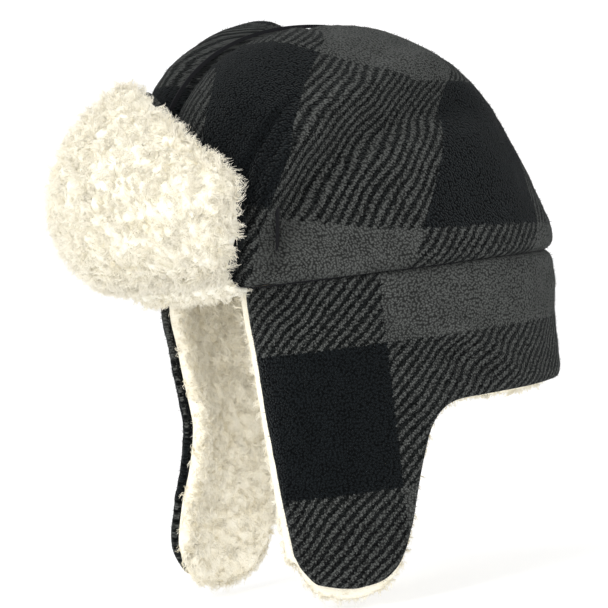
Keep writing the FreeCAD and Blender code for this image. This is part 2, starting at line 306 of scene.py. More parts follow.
def fibre_mesh(name, roots, directions, tints, materials, shape, random, per_lock=1):
    """Thin curled fibres with three sides, as one mesh. shape is (length, radius, curl, turns, steps).

    Each root grows a lock of fibres that lean and curl together and close up towards its tip."""
    length, radius, curl, turns, steps = shape
    locks = len(roots)
    helper = np.where(np.abs(directions[:, 2:3]) < 0.8, [[0.0, 0.0, 1.0]], [[1.0, 0.0, 0.0]])
    first = unit(np.cross(directions, helper))
    second = np.cross(directions, first)
    lean = random.normal(0.0, 0.50, (locks, 2))
    reach = length * random.uniform(0.6, 1.3, locks)[:, None]
    start = random.uniform(0.0, 2.0 * math.pi, locks)[:, None]
    spin = turns * 2.0 * math.pi * random.choice([-1.0, 1.0], locks)[:, None]
    loop = curl * random.uniform(0.5, 1.4, locks)[:, None]
    roots, directions, first, second, lean, reach, start, spin, loop, tints = (
        np.repeat(values, per_lock, axis=0)
        for values in (roots, directions, first, second, lean, reach, start, spin, loop, tints))
    count = len(roots)
    lean = lean + random.normal(0.0, 0.18, (count, 2))
    heading = unit(directions + first * lean[:, :1] + second * lean[:, 1:])
    start = start + random.normal(0.0, 0.35, (count, 1))
    reach = reach * random.uniform(0.75, 1.15, (count, 1))
    apart = random.normal(0.0, LOCK_WIDTH if per_lock > 1 else 0.0, (count, 2))
    apart = first * apart[:, :1] + second * apart[:, 1:]
    line = []
    for step in range(steps):
        share = step / (steps - 1)
        angle = start + spin * share
        swing = first * (np.cos(angle) - np.cos(start)) + second * (np.sin(angle) - np.sin(start))
        spread = apart * (1.0 - 0.7 * share)
        line.append(roots - directions * 0.0008 + heading * reach * share + swing * loop + spread)
    line = np.stack(line, axis=1)
    along = unit(np.gradient(line, axis=1))
    side = unit(np.cross(along, first[:, None, :] + 0.37 * second[:, None, :]))
    other = np.cross(along, side)
    thick = radius * (1.0 - 0.55 * np.linspace(0.0, 1.0, steps))[None, :, None]
    rings = []
    for corner in range(3):
        angle = corner * 2.0 * math.pi / 3.0
        rings.append(line + thick * (side * math.cos(angle) + other * math.sin(angle)))
    points = np.stack(rings, axis=2).reshape(-1, 3)
    base = (np.arange(count) * steps * 3)[:, None, None, None]
    ring = (np.arange(steps - 1) * 3)[None, :, None, None]
    corner = np.arange(3)[None, None, :, None]
    following = (corner + 1) % 3
    sides = np.concatenate([base + ring + corner, base + ring + following,
                            base + ring + following + 3, base + ring + corner + 3], axis=3)
    sides = sides.reshape(-1, 4)
    ends = np.arange(count)[:, None] * steps * 3
    roots_face = ends + np.array([[2, 1, 0]])
    tips_face = ends + (steps - 1) * 3 + np.array([[0, 1, 2]])
    mesh = bpy.data.meshes.new(name)
    mesh.from_pydata(points.tolist(), [], sides.tolist() + roots_face.tolist() + tips_face.tolist())
    tint_of_face = np.concatenate([np.repeat(tints, 3 * (steps - 1)), tints, tints])
    mesh.polygons.foreach_set("material_index", tint_of_face.astype(np.int32))
    for material in materials:
        mesh.materials.append(material)
    mesh.shade_smooth()
    piece = bpy.data.objects.new(name, mesh)
    bpy.context.scene.collection.objects.link(piece)
    return piece


# ---- materials -----------------------------------------------------------------

class Shader:
    """A material and short ways to add nodes to it."""

    def __init__(self, name):
        self.material = bpy.data.materials.new(name)
        self.material.use_nodes = True
        self.tree = self.material.node_tree
        self.surface = self.tree.nodes["Principled BSDF"]

    def join(self, source, target):
        self.tree.links.new(source, target)

    def math(self, operation, *values):
        node = self.tree.nodes.new("ShaderNodeMath")
        node.operation = operation
        for socket, value in zip(node.inputs, values):
            if isinstance(value, (int, float)):
                socket.default_value = value
            else:
                self.join(value, socket)
        return node.outputs[0]

    def uv(self, name):
        node = self.tree.nodes.new("ShaderNodeUVMap")
        node.uv_map = name
        return node.outputs["UV"]

    def axes(self, vector):
        node = self.tree.nodes.new("ShaderNodeSeparateXYZ")
        self.join(vector, node.inputs[0])
        return node.outputs[0], node.outputs[1]

    def noise(self, vector, size, detail=2.0):
        node = self.tree.nodes.new("ShaderNodeTexNoise")
        node.noise_dimensions = "2D"
        node.inputs["Scale"].default_value = 1.0 / size
        node.inputs["Detail"].default_value = detail
        self.join(vector, node.inputs["Vector"])
        return node.outputs["Fac"]

    def soft_step(self, value, low, high):
        """0 below low, 1 above high and smooth between."""
        node = self.tree.nodes.new("ShaderNodeMapRange")
        node.interpolation_type = "SMOOTHSTEP"
        node.inputs["From Min"].default_value = low
        node.inputs["From Max"].default_value = high
        self.join(value, node.inputs["Value"])
        return node.outputs["Result"]

    def grain(self, vector, size):
        """Small round grains, 1 at the middle of each and 0 in the gaps."""
        node = self.tree.nodes.new("ShaderNodeTexVoronoi")
        node.voronoi_dimensions = "2D"
        node.inputs["Scale"].default_value = 1.0 / size
        self.join(vector, node.inputs["Vector"])
        return self.soft_step(self.math("SUBTRACT", 1.0, node.outputs["Distance"]), 0.25, 0.95)

    def mix(self, share, first, second, times=None):
        """A mix of two colours, times another colour if one is given."""
        node = self.tree.nodes.new("ShaderNodeMix")
        node.data_type = "RGBA"
        self.join(share, node.inputs["Factor"])
        for socket, value in ((node.inputs[6], first), (node.inputs[7], second)):
            if isinstance(value, tuple):
                socket.default_value = (*value, 1.0)
            else:
                self.join(value, socket)
        if times is None:
            return node.outputs[2]
        product = self.tree.nodes.new("ShaderNodeMix")
        product.data_type = "RGBA"
        product.blend_type = "MULTIPLY"
        product.inputs["Factor"].default_value = 1.0
        self.join(node.outputs[2], product.inputs[6])
        self.join(times, product.inputs[7])
        return product.outputs[2]

    def bump(self, height, strength, distance):
        node = self.tree.nodes.new("ShaderNodeBump")
        node.inputs["Strength"].default_value = strength
        node.inputs["Distance"].default_value = distance
        self.join(height, node.inputs["Height"])
        self.join(node.outputs[0], self.surface.inputs["Normal"])

    def finish(self, roughness, sheen, sheen_roughness, sheen_tint):
        self.surface.inputs["Roughness"].default_value = roughness
        self.surface.inputs["Specular IOR Level"].default_value = 0.06
        self.surface.inputs["Sheen Weight"].default_value = sheen
        self.surface.inputs["Sheen Roughness"].default_value = sheen_roughness
        self.surface.inputs["Sheen Tint"].default_value = (*sheen_tint, 1.0)


BLACK = (0.0050, 0.0065, 0.0075)
GREY = (0.060, 0.063, 0.060)
TWILL_DARK = (0.0055, 0.0065, 0.0065)
TWILL_SPACING = 0.0046
TWILL_SLOPE = 0.95
GRAIN = 0.0013
# Multipliers for the cloth's grain: partly random tone, partly painted shade in the gaps between grains and
# a painted highlight on the grains' tops.
GRAIN_DARK_AND_GAP_SHADE = (0.30, 0.30, 0.30)
GRAIN_LIGHT_AND_TOP_HIGHLIGHT = (1.75, 1.75, 1.75)


def plaid_material():
    """Plush cloth in black and grey blocks, with dark diagonal lines where the two cross."""
    shader = Shader("plaid_cloth")
    cloth = shader.uv("cloth")
    across, up = shader.axes(shader.uv("blocks"))
    cloth_across, cloth_up = shader.axes(cloth)
    ragged = shader.math("SUBTRACT", shader.noise(cloth, 0.0018, 1.0), 0.5)
    ragged_across = shader.math("MULTIPLY_ADD", ragged, 0.035, across)
    ragged_up = shader.math("MULTIPLY_ADD", ragged, 0.035, up)
    warp = shader.math("LESS_THAN", shader.math("FRACT", shader.math("MULTIPLY", ragged_across, 0.5)), 0.5)
    weft = shader.math("LESS_THAN", shader.math("FRACT", shader.math("MULTIPLY", ragged_up, 0.5)), 0.5)
    both = shader.math("MULTIPLY", warp, weft)
    either = shader.math("SUBTRACT", shader.math("ADD", warp, weft), shader.math("MULTIPLY", both, 2.0))
    rise = shader.math("SUBTRACT", cloth_up, shader.math("MULTIPLY", cloth_across, TWILL_SLOPE))
    rise = shader.math("DIVIDE", rise, TWILL_SPACING * math.hypot(1.0, TWILL_SLOPE))
    wander = shader.math("SUBTRACT", shader.noise(cloth, 0.035, 1.0), 0.5)
    rise = shader.math("MULTIPLY_ADD", wander, 1.3, rise)
    step = shader.math("SUBTRACT", shader.noise(cloth, 0.0013, 1.0), 0.5)
    line = shader.math("FRACT", shader.math("MULTIPLY_ADD", step, 0.75, rise))
    line = shader.math("ABSOLUTE", shader.math("SUBTRACT", line, 0.5))
    line = shader.soft_step(line, 0.20, 0.30)
    grain = shader.grain(cloth, GRAIN)
    patches = shader.math("SUBTRACT", shader.noise(cloth, 0.011, 2.0), 0.5)
    patches_and_grain_shade = shader.math("MULTIPLY_ADD", patches, 0.5, grain)
    twill = shader.mix(line, GREY, TWILL_DARK)
    ground = shader.mix(either, GREY, twill)
    colour = shader.mix(both, ground, BLACK)
    # Darker in the grain gaps and lighter on the grain tops: painted shade and painted highlight over
    # random blotches of tone.
    colour = shader.mix(patches_and_grain_shade, GRAIN_DARK_AND_GAP_SHADE, GRAIN_LIGHT_AND_TOP_HIGHLIGHT, times=colour)
    shader.join(colour, shader.surface.inputs["Base Color"])
    sunk = shader.math("MULTIPLY", shader.math("MULTIPLY", line, either), -0.5)
    shader.bump(shader.math("ADD", grain, sunk), 1.0, 0.0010)
    shader.finish(1.0, 0.06, 0.4, (0.8, 0.85, 0.85))
    return shader.material


# Sherpa colours: painted shade down between the tufts, and the plain ivory on their tops.
SHERPA_TUFT_GAP_SHADE = (0.80, 0.75, 0.58)
SHERPA_CREST = (0.97, 0.94, 0.84)
# The linings' copy of the sherpa, for their place in the hat's shade: a painted warm, yellowish shade tint,
# with lighter painted shade between the tufts than on the brim.
LINING_TUFT_GAP_SHADE = (0.93, 0.86, 0.69)
LINING_CREST_SHADE_TINT = (0.985, 0.94, 0.81)


def sherpa_material(name, shade_between_tufts, crest):
    """Ivory pile with painted shade: pale on the tufts and a darker, warmer painted shade down between
    them.
    """
    shader = Shader(name)
    cloth = shader.uv("cloth")
    node = shader.tree.nodes.new("ShaderNodeAttribute")
    node.attribute_name = "pile"
    tuft = shader.math("MULTIPLY_ADD", shader.math("SUBTRACT", shader.noise(cloth, 0.0014, 2.0), 0.5), 0.5,
                       node.outputs["Fac"])
    tuft = shader.math("MINIMUM", shader.math("MAXIMUM", tuft, 0.0), 1.0)
    # Mixes from painted shade between the tufts to the plain colour on their tops, by the tuft share in the
    # pile attribute.
    shader.join(shader.mix(tuft, shade_between_tufts, crest), shader.surface.inputs["Base Color"])
    shader.bump(shader.noise(cloth, 0.0013, 2.0), 0.8, 0.0012)
    shader.finish(1.0, 0.10, 0.6, (1.0, 0.97, 0.9))
    return shader.material


def plain_material(name, colour, sheen=0.05):
    """One plain colour for thread or fibres."""
    shader = Shader(name)
    shader.surface.inputs["Base Color"].default_value = (*colour, 1.0)
    shader.finish(0.9, sheen, 0.5, (1.0, 1.0, 1.0))
    return shader.material


plaid = plaid_material()
sherpa = sherpa_material("sherpa", SHERPA_TUFT_GAP_SHADE, SHERPA_CREST)
# A copy of the sherpa tinted as painted shade for the linings.
sherpa_lining_shade_copy = sherpa_material("sherpa_lining_shade_copy", LINING_TUFT_GAP_SHADE, LINING_CREST_SHADE_TINT)
thread = plain_material("thread", (0.012, 0.012, 0.014))
# Fibre colours: the plain ivory, and copies darkened as painted half shade and painted shade.
sherpa_fibres = [
    plain_material("sherpa_fibre_white", (0.97, 0.925, 0.80)),
    plain_material("sherpa_fibre_painted_half_shade", (0.96, 0.905, 0.76)),
    plain_material("sherpa_fibre_painted_shade", (0.91, 0.845, 0.67)),
]
cloth_fibres = [
    plain_material("cloth_fibre_grey", (0.060, 0.063, 0.061)),
    plain_material("cloth_fibre_black", (0.009, 0.010, 0.011)),
]


# ---- crown ---------------------------------------------------------------------

def crown_grid(rows, columns):
    """Left half of the crown: rows from the brow to the back, columns from the top seam to the base."""
    turn = math.pi / 2.0 * (1.0 - np.cos(math.pi * spaced(rows)))
    turn = np.clip(turn, 0.012, math.pi - 0.012)[:, None]
    slant = (math.pi / 2.0 * spaced(columns))[None, :]
    slice_y = -HALF_LENGTH * np.cos(turn) * np.ones_like(slant)
    low = np.zeros_like(slice_y)
    high = np.full_like(slice_y, HALF_WIDTH + CROWN_HEIGHT)
    for _ in range(40):
        reach = (low + high) / 2.0
        across = reach * np.sin(slant) / HALF_WIDTH
        flat = (across ** 2 + (slice_y / HALF_LENGTH) ** 2) ** (CROWN_TOP_POWER / 2.0)
        outside = flat + (reach * np.cos(slant) / CROWN_HEIGHT) ** CROWN_SIDE_POWER > 1.0
        high = np.where(outside, reach, high)
        low = np.where(outside, low, reach)
    height = reach * np.cos(slant) + BASE_GAP
    width = reach * np.sin(slant) + SEAM_HALF_GAP
    return np.stack([width, slice_y - CROWN_LEAN * height, height], axis=-1)


def round_crown(grid):
    """Angle round the crown from the brow, in degrees, and the height in metres."""
    height = grid[..., 2]
    level_y = grid[..., 1] + CROWN_LEAN * height
    angle = np.degrees(np.arctan2(grid[..., 0] / HALF_WIDTH, -level_y / HALF_LENGTH))
    return angle, height, level_y


def crown_relief(grid, seed, full):
    """How far the padded crown stands out from its plain dome. full is 1 for the fuller half."""
    angle, height, _ = round_crown(grid)
    side = grid[..., 0]
    # A valley along the top seam and one along the base, each with a soft roll beside it
    relief = (0.0012 * bell(side - 0.019, 0.013) - 0.0038 * bell(side, 0.0045)) * ramp(height, 0.004, 0.035)
    relief += 0.0036 * bell(height - 0.012, 0.015) - 0.0022 * bell(height, 0.0035)
    relief -= 0.0050 * bell(height - 0.150, 0.030) * ramp(angle, 60.0, 100.0)
    # The fold that sags round the side, as a ridge with a hollow below it
    here = ramp(angle, 30.0, 48.0) * (1.0 - ramp(angle, 112.0, 140.0))
    ridge = 0.114 - 0.064 * np.exp(-(angle - 47.0) / 25.0)
    relief += here * 0.0070 * bell(height - ridge, 0.010)
    relief -= here * 0.0095 * bell(height - ridge + 0.020, 0.012)
    relief -= 0.0035 * bell(angle - 60.0, 18.0) * bell(height - 0.045, 0.020)
    # The dart seam, drawn in along its line
    dart = 33.0 + 29.0 * np.clip(height / 0.105, 0.0, 2.0) ** 2.5
    dart_here = ramp(height, 0.0, 0.02) * (1.0 - ramp(height, 0.092, 0.108))
    relief -= dart_here * (0.0040 * bell(angle - dart, 1.7) - 0.0018 * bell(angle - dart, 7.0))
    relief -= 0.0034 * bell(angle - 150.0, 35.0) * bell(height - 0.075, 0.040)
    # The two halves of the front top: one fuller, one sunk
    front_top = ramp(height, 0.060, 0.105) * (1.0 - ramp(angle, 95.0, 150.0))
    relief += front_top * full * (0.0045 * bell(side - 0.030, 0.024) - 0.0075 * bell(side, 0.011))
    relief -= front_top * (1.0 - full) * 0.0090 * bell(side, 0.030)
    relief += 0.0013 * smooth_noise(grid, 0.040, seed) + 0.0009 * smooth_noise(grid, 0.021, seed + 5)
    return relief


def crown_surface(rows, columns, seed, full):
    """Outside of the crown's left half, with its folds, and the plain dome's normals."""
    plain = crown_grid(rows, columns)
    normals = normals_of(plain, np.array([0.0, -0.01, 0.03]))
    grid = plain + normals * crown_relief(plain, seed, full)[..., None]
    grid[..., 0] = np.maximum(grid[..., 0], SEAM_HALF_GAP)
    return grid, normals


def crown_cloth(grid):
    """Where each point of the crown lies in the flat cloth: in metres, and in plaid blocks."""
    angle, height, level_y = round_crown(grid)
    rise = height + 0.057 * np.clip(height / CROWN_HEIGHT, 0.0, 1.1) ** 6
    round_side = HALF_LENGTH * np.arcsin(np.clip(level_y / HALF_LENGTH, -1.0, 1.0))
    row_edge = 0.020 - 0.05 * round_side + 1.8 * np.minimum(round_side, 0.0) ** 2
    stretch = 1.0 - 0.36 * np.clip((0.020 - round_side) / 0.060, 0.0, 1.0)
    block_across = (round_side - 0.68 * (rise - 0.022) + 0.008) / CROWN_BLOCK[0]
    narrow = -1.0 + (block_across + 1.0) * CROWN_BLOCK[0] / CROWN_NARROW_BLOCK
    block_across = np.where(block_across < -1.0, narrow, block_across)
    block_up = (rise - row_edge) * stretch / CROWN_BLOCK[1]
    reach = np.clip(1.0 - (height / CROWN_HEIGHT) ** CROWN_SIDE_POWER, 0.0, 1.0) ** (1.0 / CROWN_TOP_POWER)
    round_front = HALF_LENGTH * reach * (np.radians(angle) - math.pi / 2.0)
    front = 1.0 - ramp(angle, 30.0, 62.0)
    across = round_side * (1.0 - front) + round_front * front
    return {
        "cloth": np.stack([across, rise], axis=-1),
        "blocks": np.stack([block_across, block_up], axis=-1),
    }


# ---- neck band and ear flaps ---------------------------------------------------

def band_point(angle, height):
    """Point on the outside of the band, at an angle from the brow and a height below the crown."""
    taper = -height / BAND_HEIGHT
    width = HALF_WIDTH - BAND_TAPER[0] * taper
    length = HALF_LENGTH - BAND_TAPER[1] * taper
    return np.stack([width * np.sin(angle), -length * np.cos(angle), height], axis=-1)


def cheek_point(along, below):
    """Point on the ear flap's curved wall, along the fold and in towards the head."""
    share = below / FLAP_WALL_DROP
    radius = FLAP_TOP_RADIUS + (FLAP_TIP_RADIUS - FLAP_TOP_RADIUS) * share
    inward = radius - np.sqrt(np.maximum(radius ** 2 - along ** 2, 0.0))
    turn = FLAP_TWIST * share
    turned_along = along * np.cos(turn) - inward * np.sin(turn)
    turned_in = along * np.sin(turn) + inward * np.cos(turn)
    return turned_along[..., None] * FOLD_BACK + turned_in[..., None] * FOLD_IN


def lower_grid(rows, columns, splay, overhang=0.0):
    """Left half of the band with its ear flap: rows from the back seam to the brow, columns downwards."""
    front = math.asin((BAND_END_X - overhang) / (HALF_WIDTH - BAND_TAPER[0] / 2.0))
    angle = (math.pi - (math.pi - front) * spaced(rows))[:, None]
    foot = band_point(angle[:, 0], np.full(len(angle), -BAND_HEIGHT))
    along = (foot - FOLD_POINT) @ FOLD_BACK
    below = np.interp(along, FLAP_ALONG, FLAP_BELOW)
    window = np.hanning(max(5, int(9 * FINENESS) | 1) + 2)[1:-1]
    padded_below = np.pad(below, len(window) // 2, mode="edge")
    below = np.convolve(padded_below, window / window.sum(), mode="valid")
    below = below + overhang * np.minimum(0.25 + below / 0.020, 1.0)
    drop = (BAND_HEIGHT + below)[:, None] * spaced(columns)[None, :]
    band_height = -np.minimum(drop, BAND_HEIGHT) - BASE_GAP * (1.0 - np.minimum(drop / 0.01, 1.0))
    grid = band_point(angle, band_height)
    under = np.maximum(drop - BAND_HEIGHT, 0.0)
    across = np.clip((along - FLAP_FRONT_END) / (FLAP_BACK_END - FLAP_FRONT_END), 0.0, 1.0)[:, None]
    shift = FRONT_EDGE_SHIFT * np.minimum(under / 0.072, 1.0) * (1.0 - across)
    start = along[:, None] * np.ones_like(under)
    start = np.clip(start, -0.1, 0.1)
    grid = grid + cheek_point(start + shift, under) - cheek_point(start, np.zeros_like(under))
    grid[..., 2] -= under
    spread = splay * ramp(under, 0.0, 0.075) * (1.0 - 0.8 * across)
    grid[..., 0] += spread
    grid[..., 1] -= spread * 0.75
    grid[..., 0] = np.maximum(grid[..., 0], SEAM_HALF_GAP)
    return grid


def lower_relief(grid, seed):
    """How far the padded band and flap stand out from their plain wall, with the crease above the ear."""
    angle = np.degrees(np.arctan2(grid[..., 0] / HALF_WIDTH, -grid[..., 1] / HALF_LENGTH))
    height = grid[..., 2]
    relief = 0.0016 * bell(height + 0.016, 0.013) - 0.0020 * bell(height, 0.0035)
    crease = (height + 0.006) * 1000.0 + (angle - 72.0) * 1.45
    here = ramp(angle, 66.0, 76.0) * (1.0 - ramp(angle, 102.0, 118.0)) * ramp(height, -0.085, -0.05)
    relief += here * (0.0042 * bell(crease, 8.0) - 0.0034 * bell(crease + 19.0, 9.0))
    relief += 0.0013 * smooth_noise(grid, 0.042, seed) + 0.0008 * smooth_noise(grid, 0.020, seed + 3)
    return relief


LOWER_MIDDLE = np.array([0.0, 0.01, -0.05])


def lower_surface(rows, columns, seed, splay, overhang=0.0):
    """Outside of the left half of the band with its flap, with its folds, and the plain wall's normals."""
    plain = lower_grid(rows, columns, splay, overhang)
    normals = normals_of(plain, LOWER_MIDDLE)
    grid = plain + normals * lower_relief(plain, seed)[..., None]
    grid[..., 0] = np.maximum(grid[..., 0], SEAM_HALF_GAP)
    return grid, normals


def lower_cloth(grid):
    """Where each point of the band and flap lies in the flat cloth: in metres, and in plaid blocks."""
    angle = np.arctan2(grid[..., 0] / HALF_WIDTH, -grid[..., 1] / HALF_LENGTH)
    around = 0.113 * (angle - math.radians(71.0))
    height = grid[..., 2]
    block_across = 1.0 + np.where(around > 0.0, around / BAND_WIDE_BLOCK, around / BAND_BLOCK[0])
    return {
        "cloth": np.stack([around, height], axis=-1),
        "blocks": np.stack([block_across, (height + 0.038) / BAND_BLOCK[1] + 1.0], axis=-1),
    }


# ---- front flap ----------------------------------------------------------------

def beyond_crown(angle, height, distance):
    """Point a distance outside the crown, at an angle round it from the middle of the brow."""
    size = (1.0 - (height / CROWN_HEIGHT) ** CROWN_SIDE_POWER) ** (1.0 / CROWN_TOP_POWER)
    reach_x = HALF_WIDTH * np.sin(angle)
    reach_y = -HALF_LENGTH * np.cos(angle)
    grow = size + distance / np.hypot(reach_x, reach_y)
    return np.stack([reach_x * grow, reach_y * grow - CROWN_LEAN * height, height], axis=-1)


def front_grid(rows, columns, depth, bulge, swell=0.0):
    """Face of the front flap, rows from its right end to its left end and columns from the bottom up."""
    rise = spaced(columns)[None, :]
    narrow = 1.0 + 0.05 * np.sin(math.pi * rise) - FACING_NARROWING * (1.0 - rise) ** 2.5
    angle = (FRONT_HALF_ANGLE * (2.0 * spaced(rows) - 1.0))[:, None]
    share = np.abs(angle) / FRONT_HALF_ANGLE
    angle = angle * narrow
    fall = (FRONT_TOP_MIDDLE - FRONT_TOP_END) * np.minimum(share, 1.1) ** FRONT_ARCH_POWER
    top = FRONT_TOP_MIDDLE - fall + swell
    bottom = FRONT_BOTTOM + FACING_LIFT
    height = bottom + (top - bottom) * rise
    gap = FRONT_GAP_BOTTOM + (FRONT_GAP_TOP - FRONT_GAP_BOTTOM) * rise
    gap = gap + FRONT_GAP_BELLY * np.sin(math.pi * rise)
    end_share = 1.0 - (1.0 - FACING_END_SHARE) * np.minimum(share, 1.0) ** 2
    thickness = FACING_EDGE + FACING_BELLY * np.sin(math.pi * rise ** FACING_BELLY_POWER) * end_share
    face = beyond_crown(angle + 0.0 * rise, height, gap + depth + thickness * bulge)
    return face, thickness + 0.0 * angle


# ---- pieces --------------------------------------------------------------------

def mirrored(points):
    """The same points or directions on the other side of the hat."""
    return points * np.array([-1.0, 1.0, 1.0])


def pile_relief(points, long_pile, seed):
    """Height of the sherpa's tufts, and the same as a share from 0 to 1."""
    sway = [smooth_noise(points, 0.006, seed + 20 + axis) for axis in range(3)]
    bent = points + 0.0016 * np.stack(sway, axis=-1)
    coarse = tufts(bent, 0.0085, seed)
    fine = tufts(bent, 0.0042, seed + 7)
    share = 0.62 * coarse + 0.38 * fine
    lumps = 0.5 + 0.5 * smooth_noise(points, 0.019, seed + 9)
    return long_pile * (0.75 * share + 0.35 * lumps), share


def sherpa_piece(name, mid, normals, half, radii, long_pile, seed, pile_side, flip=False, material=sherpa):
    """A sherpa sheet about its middle surface. pile_side is 1 for pile outside, -1 for pile inside."""
    share = roundness(mid, radii)[..., None]
    height, tuft = pile_relief(mid, long_pile, seed)
    outer = mid + normals * half * share
    inner = mid - normals * half * share
    lift = normals * (height[..., None] - long_pile * 0.45) * np.maximum(share, 0.55)
    if pile_side > 0:
        outer = outer + lift
    else:
        inner = inner - lift
    if flip:
        outer, inner, normals = mirrored(outer), mirrored(inner), mirrored(normals)
    rows, columns = mid.shape[:2]
    steps = edge_distances(mid)
    uv = {"cloth": np.stack([steps[0], steps[2]], axis=-1)}
    # The tuft share goes to the material, which paints shade between the tufts with it.
    pile = np.concatenate([tuft.ravel(), tuft.ravel()])
    piece = sheet_mesh(name, outer, inner, material, uv, {"pile": pile})
    face = outer if pile_side > 0 else inner
    out = normals_of(face, face.reshape(-1, 3).mean(axis=0))
    if np.sum(out * normals) * pile_side < 0.0:
        out = -out
    return piece, face, out, (tuft, share[..., 0])


def sherpa_fuzz(name, face, out, pile, locks, per_lock, length, seed, lining_shade_shift=0.0):
    """Curled pile standing up from a sherpa face, in small locks and thicker along its edges."""
    random = np.random.default_rng(seed)
    tuft, share = pile
    wanted = 1.0 + 2.5 * (1.0 - share)
    count = max(50, int(locks * FINENESS ** 2))
    roots, directions, row, column = scattered(face, out, count, random, wanted)
    # Fibres rooted low between the tufts take the painted half-shade and painted-shade colours; the last
    # argument moves more of a lining's fibres to them, as painted shade for the lining's place in the hat.
    tone = tuft[row, column] - lining_shade_shift + random.normal(0.0, 0.16, len(roots))
    tints = np.where(tone > 0.36, 0, np.where(tone > 0.16, 1, 2))
    shape = (length, FIBRE_RADIUS, length * 0.26, 0.6, 4)
    piece = fibre_mesh(name, roots, directions, tints, sherpa_fibres, shape, random, per_lock)
    return piece


def rim_fuzz(name, mid, normals, half, locks, per_lock, length, seed, flip):
    """Curled pile round the cut edge of a lining: down its front edge and along its lower edge."""
    random = np.random.default_rng(seed)
    edge = np.concatenate([mid[-1], mid[::-1, -1]])
    outwards = unit(np.concatenate([mid[-1] - mid[-3], (mid[:, -1] - mid[:, -3])[::-1]]))
    facing = np.concatenate([normals[-1], normals[::-1, -1]])
    steps = np.linalg.norm(np.diff(edge, axis=0), axis=1)
    count = max(50, int(locks * FINENESS ** 2))
    place = random.choice(len(steps), size=count, p=steps / steps.sum())
    share = random.random(count)[:, None]
    roots = edge[place] * (1.0 - share) + edge[place + 1] * share
    depth = half * random.uniform(-0.8, 0.5, (count, 1))
    roots = roots + facing[place] * depth - outwards[place] * RIM_INSET
    directions = unit(outwards[place] + facing[place] * random.normal(-0.4, 0.5, (count, 1)))
    if flip:
        roots, directions = mirrored(roots), mirrored(directions)
    # Fibres take the plain, painted half-shade and painted-shade colours at random.
    tints = random.choice(3, size=count, p=(0.35, 0.40, 0.25))
    shape = (length, FIBRE_RADIUS, length * 0.26, 0.6, 4)
    piece = fibre_mesh(name, roots, directions, tints, sherpa_fibres, shape, random, per_lock)
    return piece


def cloth_fuzz(name, face, out, blocks, count, seed):
    """Short nap on the plaid cloth, black on the black blocks and grey elsewhere."""
    random = np.random.default_rng(seed)
    roots, directions, row, column = scattered(face, out, max(50, int(count * FINENESS ** 2)), random)
    place = blocks[row, column]
    dark = (np.mod(place, 2.0) < 1.0)
    tints = np.where(dark[:, 0] & dark[:, 1], 1, np.where(random.random(len(roots)) < 0.35, 1, 0))
    shape = (0.0017, 0.00013, 0.0003, 0.5, 2)
    piece = fibre_mesh(name, roots, directions, tints, cloth_fibres, shape, random)
    return piece


def cloth_piece(name, grid, normals, radii, uv_maps, seed, flip=False):
    """Plaid shell with its wadding: a padded sheet whose outside face lies at the grid."""
    half = (SHELL[1] - SHELL[0]) / 2.0
    share = roundness(grid, radii)[..., None]
    grain = 0.00028 * smooth_noise(grid, 0.0065, seed) + 0.00022 * smooth_noise(grid, 0.0028, seed + 1)
    mid = grid - normals * half
    outer = mid + normals * (half * share + grain[..., None])
    inner = mid - normals * half * share
    if flip:
        outer, inner, normals = mirrored(outer), mirrored(inner), mirrored(normals)
    piece = sheet_mesh(name, outer, inner, plaid, uv_maps)
    return piece, outer, normals


def shifted(uv_maps, across, up):
    """The same cloth with its plaid moved by a share of a block."""
    moved = dict(uv_maps)
    moved["blocks"] = uv_maps["blocks"] + np.array([across, up])
    return moved


def build_crown(side, flip, seed):
    """One half of the crown: cloth, nap, lining and the lining's pile."""
    full = 1.0 if flip else 0.0
    grid, normals = crown_surface(260, 140, seed, full)
    uv_maps = crown_cloth(grid)
    if flip:
        uv_maps = shifted(uv_maps, 0.55, 0.35)
    shell, face, out = cloth_piece(
        "crown_shell_" + side + "_cloth", grid, normals, (0, 0, 0.004, 0.0030), uv_maps, seed + 2, flip)
    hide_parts("crown_shell_" + side, "crown_wadding_" + side)
    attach(shell, "crown_and_band")
    fuzz = cloth_fuzz("crown_nap_" + side, face, out, uv_maps["blocks"], 9000, seed + 3)
    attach(fuzz, "crown_and_band")
    grid, normals = crown_surface(120, 66, seed, full)
    depth = (LINING[0] + LINING[1]) / 2.0
    half = (LINING[1] - LINING[0]) / 2.0
    lining, face, out, pile = sherpa_piece(
        "crown_lining_" + side + "_pile", grid - normals * depth, normals, half,
        (0, 0, 0.003, 0.004), 0.0022, seed + 4, -1, flip, sherpa_lining_shade_copy)
    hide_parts("crown_lining_" + side)
    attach(lining, "crown_and_band")
    fuzz = sherpa_fuzz("crown_lining_fuzz_" + side, face, out, pile, 500, 5, 0.0045, seed + 5, 0.35)
    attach(fuzz, "crown_and_band")


